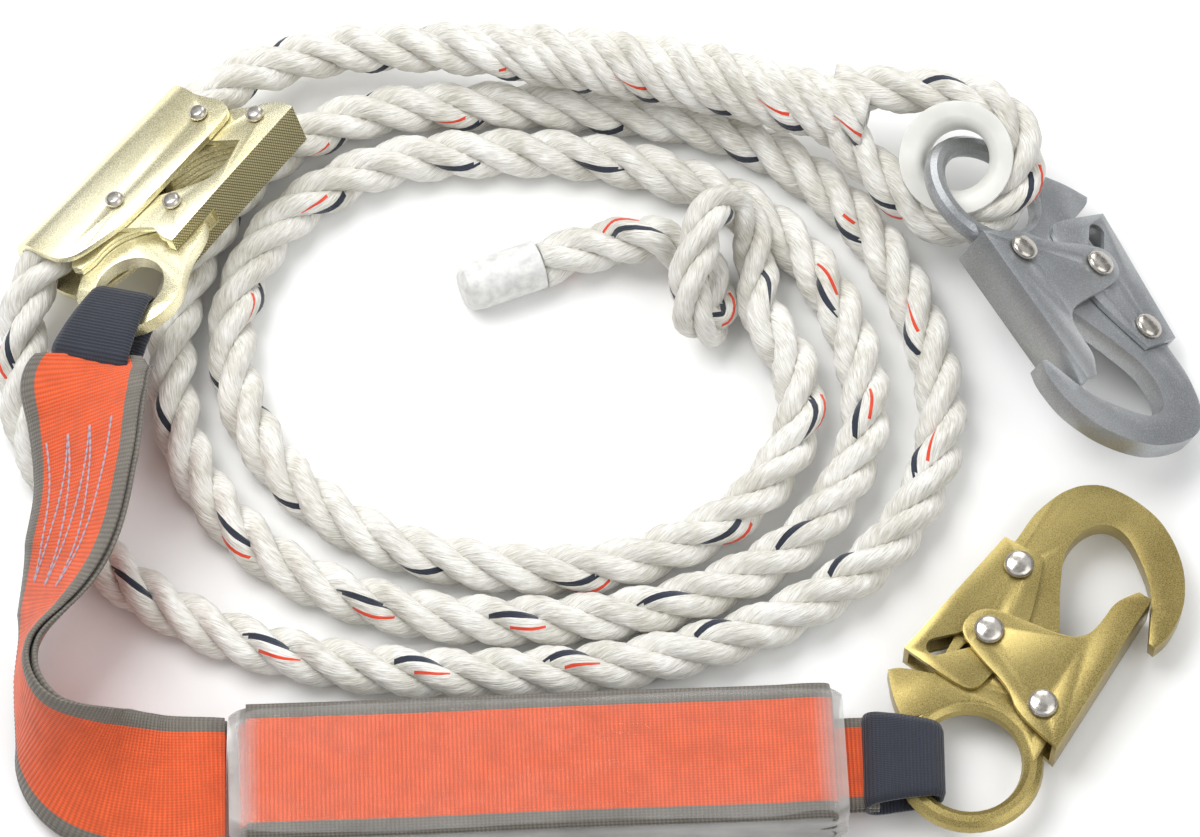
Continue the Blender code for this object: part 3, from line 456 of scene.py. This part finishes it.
def strand(line, across, radius, turn, lay, mark=0, v_start=0.0):
    """One strand's rings: uneven yarns stand proud and turn round it, and its outside is flat."""
    around = np.arange(STRAND_SIDES) * 2 * math.pi / STRAND_SIDES
    angle = around[None, :] + turn[:, None]
    run = measured(line)[:, None]
    yarn = np.floor(around / (2 * math.pi / YARNS) + 0.5)[None, :]
    uneven = np.sin(run / (3.1 * MM) + yarn * 2.3) + np.sin(run / (1.7 * MM) + yarn * 4.1)
    proud = (1 + 0.06 * np.cos(YARNS * around) + 0.014 * uneven
             - STRAND_FLAT * np.clip(np.cos(angle - lay[:, None]), 0, 1))
    _, side, up = across
    rings = line[:, None] + (radius[:, None] * proud)[..., None] * (
        np.cos(angle)[..., None] * side[:, None] + np.sin(angle)[..., None] * up[:, None])
    columns = np.linspace(0, 1, STRAND_SIDES + 1)
    uvs = np.stack(np.broadcast_arrays(columns[None, :], v_start + measured(line)[:, None]), -1)
    return rings, uvs, mark


def marker_yarns(lay, run):
    """Which faces of the marked strand are navy (1) and, on about half the turns, red (2)."""
    around = np.arange(STRAND_SIDES) * 2 * math.pi / STRAND_SIDES
    outward = np.cos(around[None, :] + (YARN_TURN - 1) * lay[:-1, None])
    mark = np.zeros(outward.shape, int)
    mark[:, 0:2][outward[:, 0:2] > -0.5] = 1
    shown = (outward[:, 5] > -0.1) & (np.sin(2 * math.pi * run[:-1] / 0.23) > -0.15)
    mark[shown, 5] = 2
    return mark


def laid_strands(line, spread, radius, start=0.0):
    """Three strands laid up right-handed round the line. The first has the marker yarns."""
    run, across = measured(line), untwisted(line)
    groups = []
    for k in range(3):
        lay = 2 * math.pi * (run + start) / LAY + 2 * math.pi * k / 3
        middle = line + spread[:, None] * (np.cos(lay)[:, None] * across[1]
                                           + np.sin(lay)[:, None] * across[2])
        mark = marker_yarns(lay, run + start) if k == 0 else 0
        groups.append(strand(middle, across, radius, YARN_TURN * lay, lay, mark, start))
    return groups


# ---- the lifeline --------------------------------------------------------------------------

def knot_path():
    """The rope's way up, over, down the front and back under itself, in millimetres."""
    return np.array((
        (50.6, 47.0, 10.5), (48.4, 60.5, 14.5), (42.5, 66.5, 22.5), (36.0, 61.0, 28.5),
        (31.8, 48.5, 29.3), (28.6, 36.5, 25.5), (30.0, 28.0, 17.0), (35.5, 28.5, 9.0),
        (38.0, 38.0, 7.6), (35.0, 49.0, 8.0), (25.5, 56.0, 9.5),
    )) * MM


def rope_line():
    """The rope's centre line, and where the knot starts and ends along it."""
    line = smooth_line(np.vstack((ROUTE, knot_path(), TAIL)) - MIDDLE, ROW_STEP)
    start, tail = (measured(smooth_line(part, ROW_STEP))[-1] for part in (ROUTE, TAIL))
    return line, start, measured(line)[-1] - tail


def make_rope(finishes):
    """The laid rope, squeezed where it is knotted and fuller along its splice."""
    line, knot_start, knot_end = rope_line()
    run = measured(line)
    in_knot = np.clip(np.minimum(run - knot_start, knot_end - run) / (12 * MM), 0, 1)
    squeeze = 1 - (1 - KNOT_SQUEEZE) * in_knot
    bulk = np.clip((SPLICE_LENGTH - run) / SPLICE_TAPER, 0, 1)
    spread = STRAND_OUT * squeeze + SPLICE_SPREAD * bulk
    rope = from_rings("lifeline_laid_rope", laid_strands(
        line, spread, STRAND_RADIUS * squeeze * (1 + 0.06 * bulk)), finishes)
    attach(rope, "lifeline")
    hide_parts("lifeline_rope", "rope_tail", "stopper_knot")
    return rope, line


def make_splice(line, finishes):
    """The three strands tucked back through the rope, ending one after another."""
    part = line[measured(line) <= SPLICE_LENGTH]
    far = measured(part)
    across = untwisted(part)
    groups = []
    for k in range(3):
        lay = 2 * math.pi * far / LAY + 2 * math.pi * k / 3 + math.pi / 3
        end = np.clip((SPLICE_LENGTH - TUCK_STAGGER * k - far) / SPLICE_TAPER, 0, 1)
        out = ((TUCK_OUT + TUCK_WAVE * np.sin(2 * math.pi * far / TUCK_PITCH + 2.1 * k))
               * (0.55 + 0.45 * end))
        middle = part + out[:, None] * (np.cos(lay)[:, None] * across[1]
                                        + np.sin(lay)[:, None] * across[2])
        mark = marker_yarns(lay, far + TUCK_MARK_START) if k == 1 else 0
        groups.append(strand(middle, across, TUCK_RADIUS * (0.45 + 0.55 * end),
                             YARN_TURN * lay, lay, mark))
    splice = from_rings("eye_splice_tucks", groups, finishes)
    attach(splice, "lifeline")
    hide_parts("eye_splice")
    return splice


def make_eye_rope(finishes):
    """The rope in the thimble's groove, with its two legs running into the splice."""
    axis = unit(THIMBLE_AXIS)
    way = unit(THROAT_WAY - axis * np.dot(THROAT_WAY, axis))
    beside = np.cross(axis, way)
    leg = [(47, 5), (38, 8), (29, 12)]
    flat = leg + [(GROOVE_RADIUS * math.cos(a), GROOVE_RADIUS * math.sin(a))
                  for a in (math.radians(d) for d in range(70, 291, 20))]
    flat += [(x, -y) for x, y in reversed(leg)]
    ring = smooth_line([THIMBLE_CENTRE - MIDDLE + (way * x + beside * y) * MM
                        for x, y in flat], ROW_STEP)
    even = np.full(len(ring), EYE_ROPE_SQUEEZE)
    eye = from_rings("thimble_eye_rope", laid_strands(ring, STRAND_OUT * even,
                                                      STRAND_RADIUS * even, EYE_LAY_START),
                     finishes)
    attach(eye, "lifeline")
    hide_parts("eye_loop")
    return eye


# ---- metal and moulded pieces, finished from the plain solids --------------------------------

# How wide some parts' edges are rounded, in millimetres, and in how many segments
ROUNDING = {"rope_shell": (0.35, 2), "grip_lever": (0.7, 3), "eye_plate": (0.7, 3),
            "thimble": (0, 0), "rope_end_tape": (0.8, 3)}


def select_only(piece):
    bpy.ops.object.select_all(action="DESELECT")
    piece.select_set(True)
    bpy.context.view_layer.objects.active = piece


def soften_outline(piece, out):
    """Rounds the blunt corners of a plate's outline: those on edges that run through the plate."""
    bpy.ops.mesh.select_mode(type="EDGE")
    bpy.ops.mesh.select_all(action="DESELECT")
    mesh = bmesh.from_edit_mesh(piece.data)
    for edge in mesh.edges:
        way = (edge.verts[1].co - edge.verts[0].co).normalized()
        if abs(way.dot(out)) > 0.98 and len(edge.link_faces) == 2:
            edge.select_set(BLUNT_FROM < edge.calc_face_angle() < BLUNT_TO)
    bmesh.update_edit_mesh(piece.data)
    bpy.ops.mesh.bevel(offset_type="PERCENT", offset_pct=CORNER_SHARE, segments=3,
                       affect="EDGES")


def finished(node, finish, rounding, segments, out=None, edge_highlight_finish=None):
    """A copy of a plain solid with its edges rounded, standing for it.

    Rounding is in millimetres. Out is the way through a plate whose outline is softened too,
    and the last argument is the lighter finish of the rounded edges, a painted highlight.
    """
    mesh = frame["nodes"][node].data.copy()
    mesh.materials.clear()
    mesh.materials.append(finish)
    piece = bpy.data.objects.new(node + "_finished", mesh)
    bpy.context.scene.collection.objects.link(piece)
    select_only(piece)
    bpy.ops.mesh.customdata_custom_splitnormals_clear()
    bpy.ops.object.mode_set(mode="EDIT")
    bpy.ops.mesh.select_all(action="SELECT")
    bpy.ops.mesh.remove_doubles(threshold=0.00001)
    if rounding:
        bpy.ops.mesh.dissolve_limited(angle_limit=math.radians(0.5))
    if out is not None:
        soften_outline(piece, out)
    bpy.ops.object.mode_set(mode="OBJECT")
    if rounding:
        bevel = piece.modifiers.new("Edges", "BEVEL")
        bevel.width = rounding * MM
        bevel.segments = segments
        bevel.limit_method = "ANGLE"
        bevel.angle_limit = math.radians(40)
        # The rounded edges take the lighter finish: a painted highlight.
        if edge_highlight_finish is not None:
            mesh.materials.append(edge_highlight_finish)
            bevel.material = 1
        bpy.ops.object.modifier_apply(modifier=bevel.name)
    bpy.ops.object.shade_smooth_by_angle(angle=SMOOTH_UNDER)
    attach(piece, BODY_OF[node])
    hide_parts(node)
    return piece


# ---- webbing -------------------------------------------------------------------------------

def web_rings(line, across, width, thickness, rib=RIB, columns=11):
    """Rings of a flat strap along a line. Its width and thickness are numbers or one a point."""
    along = unit(np.gradient(line, axis=0))
    across = unit(across - along * np.sum(across * along, axis=1, keepdims=True))
    normal = np.cross(along, across)
    run = measured(line)
    places = np.linspace(-1, 1, columns)
    places = np.sign(places) * np.abs(places) ** 0.8
    thin = np.where(np.abs(places) > 0.99, 0.45, 1.0)
    thick = thickness / 2 * (1 + 0.09 * np.sin(2 * math.pi * run / rib))
    x = np.concatenate((places, places[::-1]))
    z = np.concatenate((-thin, thin))
    width = np.broadcast_to(width, run.shape)
    rings = (line[:, None] + (width[:, None] / 2 * x)[..., None] * across[:, None]
             + (thick[:, None] * z)[..., None] * normal[:, None])
    columns_u = np.append((x + 1) / 2, (x[0] + 1) / 2)
    uvs = np.stack(np.broadcast_arrays(columns_u[None, :], run[:, None]), -1)
    return rings, uvs, 0


def stitched(name, legs, thread):
    """Rows of lockstitches. Each leg is a line of points, and each stitch a short fat thread."""
    groups = []
    for leg in legs:
        line = smooth_line(leg, 0.65 * MM)
        for i in range(0, len(line) - 4, 4):
            part = line[i:i + 5].copy()
            radius = np.array((0.12, 0.36, 0.42, 0.36, 0.12)) * MM
            along, side, up = untwisted(part)
            angle = np.arange(6) * math.pi / 3
            rings = part[:, None] + radius[:, None, None] * (
                np.cos(angle)[None, :, None] * side[:, None]
                + np.sin(angle)[None, :, None] * up[:, None])
            groups.append((rings, np.zeros((5, 7, 2)), 0))
    return from_rings(name, groups, (thread,))


def make_strap(orange, thread):
    """The strap's two plies, sewn together, and the sewing."""
    stations = np.array(STRAP)
    stations[:, :3] = stations[:, :3] * MM - MIDDLE
    line = smooth_line(stations, RIB / 4)
    centre, across = line[:, :3], unit(line[:, 3:])
    along = unit(np.gradient(centre, axis=0))
    across = unit(across - along * np.sum(across * along, axis=1, keepdims=True))
    normal = np.cross(along, across)
    if normal[0, 2] < 0:
        normal = -normal
    offset = WEB_PLY / 2 + PLY_GAP
    run = measured(centre)
    flat_start = np.clip(run / (9 * MM), 0, 1)
    width = WEB_WIDTH * (0.8 + 0.2 * np.sin(flat_start * math.pi / 2))
    for name, node, side in (("strap_front_ply", "lanyard_strap", 1),
                             ("strap_rear_ply", "strap_back_ply", -1)):
        group = web_rings(centre + normal * offset * side, across, width, WEB_PLY)
        ply = from_rings(name, [group], (orange,))
        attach(ply, "lanyard")
        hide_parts(node)
    legs = []
    for face in (1, -1):
        top = centre + normal * (offset + WEB_PLY / 2 + 0.05 * MM) * face
        low, high = np.searchsorted(run, (26 * MM, 82 * MM))
        for across_now, across_next in zip(np.linspace(-0.34, 0.28, 7),
                                           np.linspace(-0.34, 0.28, 7)[1:]):
            rows = np.arange(low, high, 12)
            share = (rows - low) / (high - low)
            if round((across_now + 0.34) / 0.1033) % 2:
                share = 1 - share
            place = across_now + (across_next - across_now) * share
            legs.append(top[rows] + across[rows] * (place * WEB_WIDTH)[:, None])
    sewing = stitched("strap_sewing", legs, thread)
    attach(sewing, "lanyard")


def stadium_path(start, end, half, step):
    """A closed long round-ended path between two X values, as X and Z."""
    bend = [(end - half + half * math.cos(a), half * math.sin(a))
            for a in np.linspace(-math.pi / 2, math.pi / 2, 10)]
    turn = [(start + half + half * math.cos(a), half * math.sin(a))
            for a in np.linspace(math.pi / 2, 3 * math.pi / 2, 10)]
    path = np.array([(start + (end - start) / 2, -half)] + bend + turn
                    + [(start + (end - start) / 2, -half)])
    return smooth_line(np.column_stack((path[:, 0], np.zeros(len(path)), path[:, 1])), step)


def make_wear_loop(name, node, place, start, end, inner, widths, finish):
    """A loop of wear webbing, wider at one end than the other."""
    half = (inner + LOOP_WEB / MM / 2) * MM
    path = stadium_path(start * MM + LOOP_WEB / 2, end * MM - LOOP_WEB / 2, half, 0.35 * MM)
    share = (path[:, 0] - path[:, 0].min()) / np.ptp(path[:, 0])
    width = (widths[0] + (widths[1] - widths[0]) * share) * MM
    turn = np.array(place.to_3x3())
    world = path @ turn.T + np.array(place.translation)
    across = np.broadcast_to(turn[:, 1], world.shape)
    group = web_rings(world, across, width, LOOP_WEB * 0.92, rib=LOOP_RIB)
    loop = from_rings(name, [group], (finish,))
    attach(loop, "lanyard")
    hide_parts(node)
    return loop


def pack_axes():
    """The shock pack's own directions and its place."""
    place = np.array(Matrix.Translation(PACK_PLACE) @ Matrix.Rotation(PACK_TURN, 4, "Z"))
    place[:3, 3] -= MIDDLE
    return place


def put(place, points):
    """Points moved from a piece's own coordinates to its place."""
    return points @ place[:3, :3].T + place[:3, 3]


def make_folds(place, orange):
    """The tear-away webbing, folded back and forth in a stack."""
    pitch = (FOLD_HIGH - FOLD_LOW) / (FOLD_PLIES - 1)
    path = []
    for ply in range(FOLD_PLIES):
        z = FOLD_LOW + ply * pitch
        end = FOLD_REACH if ply % 2 == 0 else -FOLD_REACH
        for x in np.linspace(-end, end, 12):
            path.append((x, 0.0, z + 0.35 * math.sin(x / 17 + ply)))
        if ply < FOLD_PLIES - 1:
            out = math.copysign(1, end)
            path += [(end + out * pitch / 2 * math.sin(a), 0.0,
                      z + pitch / 2 * (1 - math.cos(a)))
                     for a in np.linspace(0, math.pi, 6)[1:-1]]
    line = smooth_line(np.array(path) * MM, RIB / 2)
    across = np.broadcast_to(place[:3, 1], line.shape)
    group = web_rings(put(place, line), across, WEB_WIDTH, WEB_PLY, columns=9)
    folds = from_rings("tear_webbing_folds", [group], (orange,))
    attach(folds, "lanyard")
    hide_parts("shock_pack_webbing")


def film_section():
    """The sleeve's round-cornered section from the middle of its base, and how far round it is."""
    wide, low = FILM_HALF_WIDTH - FILM_CORNER, FILM_BASE + FILM_CORNER
    high = FILM_HEIGHT - FILM_CORNER
    outline = [(0.0, FILM_BASE)]
    for cx, cz, start in ((wide, low, -90), (wide, high, 0), (-wide, high, 90), (-wide, low, 180)):
        for a in (math.radians(start + turn) for turn in range(0, 91, 15)):
            outline.append((cx + FILM_CORNER * math.cos(a), cz + FILM_CORNER * math.sin(a)))
    outline = np.array(outline + [(0.0, FILM_BASE)])
    steps = np.concatenate(([0], np.cumsum(np.linalg.norm(np.diff(outline, axis=0), axis=1))))
    around = np.linspace(0, steps[-1], FILM_SIDES + 1)[:-1]
    return np.column_stack([np.interp(around, steps, c) for c in outline.T]), around


def make_sleeve(place, film):
    """The open-ended shrink-film sleeve, drawn in and wrinkled towards its ends."""
    section, around = film_section()
    middle = np.array((0.0, FILM_HEIGHT / 2))
    stations = FILM_REACH * np.sin(np.linspace(-math.pi / 2, math.pi / 2, 121))
    rows = []
    for x in stations:
        near = max(0.0, (abs(x) - 70) / 24) ** 2
        pull = 0.985 - 0.10 * max(0.0, (abs(x) - 88) / 6) ** 2
        wave = (np.sin(around * 0.55 + x * 0.11) + np.sin(around * 0.93 - x * 0.23)
                + 0.7 * np.sin(around * 1.7 + x * 0.05))
        ripple = 1 - (0.006 + 0.022 * near) * (1 + wave / 2.7)
        ring = middle + (section - middle) * (pull * ripple)[:, None]
        ring[:, 1] = np.maximum(ring[:, 1], 0.15)
        rows.append(np.column_stack((np.full(len(ring), x), ring)))
    turn = np.linspace(0, 1, FILM_SIDES + 1)
    out = np.abs(stations) / FILM_REACH
    uvs = np.stack(np.broadcast_arrays(turn[None, :], out[:, None]), -1)
    rings = put(place, np.array(rows) * MM)
    sleeve = from_rings("pack_film_sleeve", [(rings, uvs, 0)], (film,))
    mesh = bmesh.new()
    mesh.from_mesh(sleeve.data)
    ends = [face for face in mesh.faces if len(face.verts) > 4]
    bmesh.ops.delete(mesh, geom=ends, context="FACES_ONLY")
    mesh.to_mesh(sleeve.data)
    mesh.free()
    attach(sleeve, "lanyard")
    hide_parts("shock_pack_cover")


def make_end_strap(place, orange):
    """The two narrow plies that run from the pack to the hook's loop."""
    line = smooth_line(np.array([(x, 0.0, END_STRAP_HEIGHT) for x in END_STRAP_X]) * MM, RIB / 4)
    across = np.broadcast_to(place[:3, 1], line.shape)
    groups = [web_rings(put(place, line + UP * lift), across, END_STRAP_WIDTH, WEB_PLY)
              for lift in (-END_STRAP_LIFT, END_STRAP_LIFT)]
    strap = from_rings("end_strap_plies", groups, (orange,))
    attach(strap, "lanyard")
    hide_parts("end_strap")


# ---- studio --------------------------------------------------------------------------------

def make_studio():
    aim = Vector((0.0, 0.0, 0.0)) - Vector(MIDDLE)
    away = Vector((0.0, -math.cos(CAMERA_HEIGHT), math.sin(CAMERA_HEIGHT)))
    camera = bpy.data.objects.new("camera", bpy.data.cameras.new("camera"))
    camera.data.lens = CAMERA_LENS
    camera.data.clip_start = 0.05
    camera.location = aim + away * CAMERA_AWAY
    camera.rotation_euler = (math.pi / 2 - CAMERA_HEIGHT, 0.0, 0.0)
    bpy.context.scene.collection.objects.link(camera)
    bpy.context.scene.camera = camera
    for name, place, size, power in (("key", (-0.55, 0.35, 1.15), 0.9, 13.0),
                                     ("fill", (0.9, -0.5, 0.9), 1.1, 6.0),
                                     ("rim", (0.2, 1.1, 0.6), 0.7, 4.0)):
        lamp = bpy.data.lights.new(name, "AREA")
        lamp.size = size
        lamp.energy = power
        light = bpy.data.objects.new(name, lamp)
        light.location = place
        light.rotation_euler = (-Vector(place)).to_track_quat("-Z", "Y").to_euler()
        bpy.context.scene.collection.objects.link(light)
    world = bpy.data.worlds.new("studio")
    world.use_nodes = True
    tree = world.node_tree
    way = add(tree, "TexCoord").outputs["Generated"]
    height = add(tree, "SeparateXYZ", {"Vector": way}).outputs["Z"]
    sky = ramp(tree, height, ((0.0, "#5A5B5E"), (0.35, "#8C8D90"), (0.62, "#F2F3F5"),
                              (0.86, "#F8F9FA"), (0.95, "#A8A9AC")))
    tree.links.new(sky, tree.nodes["Background"].inputs["Color"])
    tree.nodes["Background"].inputs["Strength"].default_value = 0.85
    bpy.context.scene.world = world
    bpy.context.scene.view_settings.view_transform = "Standard"
    bpy.ops.object.select_all(action="DESELECT")
    bpy.ops.mesh.primitive_plane_add(size=6, location=(0, 0, -0.2 * MM))
    floor = bpy.context.active_object
    floor.name = "floor"
    made, tree, shader = blank("pale paper sweep", 0.9)
    shader.inputs["Base Color"].default_value = linear("#F4F4F3")
    floor.data.materials.append(made)


def grab_axes():
    """The rope grab's own directions: across to the lever, along the rope, and out of its side."""
    across = Vector((math.sin(GRAB_TURN) * math.cos(GRAB_ROLL),
                     -math.cos(GRAB_TURN) * math.cos(GRAB_ROLL), math.sin(GRAB_ROLL)))
    along = Vector((math.cos(GRAB_TURN), math.sin(GRAB_TURN), 0.0))
    place = Matrix((across, along, across.cross(along))).transposed().to_4x4()
    place.translation = GRAB_MIDDLE - Vector(MIDDLE)
    return place


def lanyard_axes(grab):
    """The wear loop's own directions at the grab's eye."""
    pull = Vector((math.sin(LANYARD_PULL), -math.cos(LANYARD_PULL), 0.0))
    up = Vector((0, 0, 1))
    place = Matrix((pull, up.cross(pull), up)).transposed().to_4x4()
    place.translation = GRAB_EYE
    return grab @ place


def anchor_out():
    """The way through the anchor hook's plates."""
    turn = Matrix.Identity(3)
    for axis, degrees in ANCHOR_TURNS:
        turn = turn @ Matrix.Rotation(math.radians(degrees), 3, axis)
    return turn.col[2]


def make_webbing(grab):
    """The lanyard: its strap, its shock pack and its two wear loops."""
    grey_band, orange_dye = "#7C766C", "#F4622A"
    orange = woven_webbing("orange polyester webbing", (
        (0.0, grey_band), (0.115, orange_dye), (0.885, grey_band)), RIB)
    navy = woven_webbing("navy polyester webbing", ((0.0, "#262C3B"), (0.5, "#262C3B")),
                         LOOP_RIB, 0.5)
    thread, tree, shader = blank("bonded nylon thread", 0.6)
    shader.inputs["Base Color"].default_value = linear("#A7A0AE")
    make_strap(orange, thread)
    pack = pack_axes()
    make_folds(pack, orange)
    make_sleeve(pack, shrink_film("clear shrink film"))
    make_end_strap(pack, orange)
    make_wear_loop("grab_wear_loop", "upper_wear_loop", lanyard_axes(grab), 1.3, 31.5, 3.05,
                   (20, 28), navy)
    hook_eye = Matrix.Translation(HARNESS_EYE - Vector(MIDDLE))
    make_wear_loop("hook_wear_loop", "end_wear_loop", hook_eye, -33, -7.4, 3.9, (31, 24), navy)


def edge_of(node, anchor, grab_out):
    """How a node's edges are finished: rounding in mm, segments, and its plate's way through."""
    out = None
    if "hook" in node:
        way = Vector((0, 0, 1)) if node.startswith("harness") else anchor
        if node.endswith("hook_body"):
            return 1.5, 3, way
        if node.endswith(("gate", "lock")):
            return 0.45, 2, way
    elif "cam_plate" in node or node in ("rope_shell", "grip_lever", "eye_plate"):
        out = grab_out
    if "spring" in node:
        return 0, 2, out
    if "rivet" in node or "pin" in node:
        return (1.7, 4, out) if "hook" in node else (0.5, 3, out)
    return ROUNDING.get(node, (0.25, 2)) + (out,)


def knurl_back(lever, knurl, grab):
    """Gives the lever's back, the face farthest from the rope, its knurl."""
    lever.data.materials.append(knurl)
    back = grab.to_3x3().col[0]
    for face in lever.data.polygons:
        away = (face.center - grab.translation).dot(back)
        if face.normal.dot(back) > 0.9 and away > KNURL_OUT:
            face.material_index = 1


def make_hardware(grab):
    """A finished copy of every metal, nylon and tape part. It returns the rope's end tape."""
    yellow = zinc_plate("yellow passivated zinc", "#FFFADB", "#DCD09A", 0.27, 0.35 * MM)
    knurl = knurled_zinc("knurled yellow zinc", "#EEE6BC", "#7A6F42", grab.to_euler())
    bronze = zinc_plate("bronze passivated zinc", "#B5A468", "#7D6C3C", 0.3, 0.4 * MM)
    # The hooks' rounded edges get lighter copies of their zinc: a painted highlight.
    bronze_painted_highlight = zinc_plate("bronze zinc painted edge highlight", "#E6DFB4", "#B7AB74", 0.26, 0.4 * MM)
    grey = zinc_plate("plain grained zinc", "#C6C8C9", "#93969A", 0.34, 0.45 * MM)
    grey_painted_highlight = zinc_plate("grey zinc painted edge highlight", "#F0F2F3", "#BFC3C6", 0.28, 0.4 * MM)
    bright = zinc_plate("bright rivet steel", "#C9C4BC", "#A7A29A", 0.2, 1.5 * MM)
    coat = {"yellow_zinc": yellow, "bronze_zinc": bronze, "grey_zinc": grey,
            "rivet_steel": bright, "nylon": moulded_nylon("natural nylon"),
            "tape": wound_tape("white vinyl tape")}
    anchor, grab_out = anchor_out(), grab.to_3x3().col[2]
    made = {}
    for node in sorted(SLOT_OF):
        if SLOT_OF[node] not in coat:
            continue
        width, segments, out = edge_of(node, anchor, grab_out)
        # The hook plates' rounded edges take the lighter copy of their zinc as a painted highlight.
        edge_highlight_finish = None
        if "hook" in node and out is not None:
            edge_highlight_finish = bronze_painted_highlight if node.startswith("harness") else grey_painted_highlight
        made[node] = finished(node, coat[SLOT_OF[node]], width, segments, out, edge_highlight_finish)
    knurl_back(made["grip_lever"], knurl, grab)
    return made["rope_end_tape"]


def main():
    make_studio()
    yarns = (laid_polyester("spun polyester rope", "#F2F1EC", "#BDB8AA"),
             laid_polyester("navy marker yarn", "#2B3344", "#151A26"),
             laid_polyester("red marker yarn", "#EE4E2C", "#C93418"))
    rope, line = make_rope(yarns)
    splice = make_splice(line, yarns)
    eye = make_eye_rope(yarns)
    grab = grab_axes()
    tape = make_hardware(grab)
    make_webbing(grab)


main()
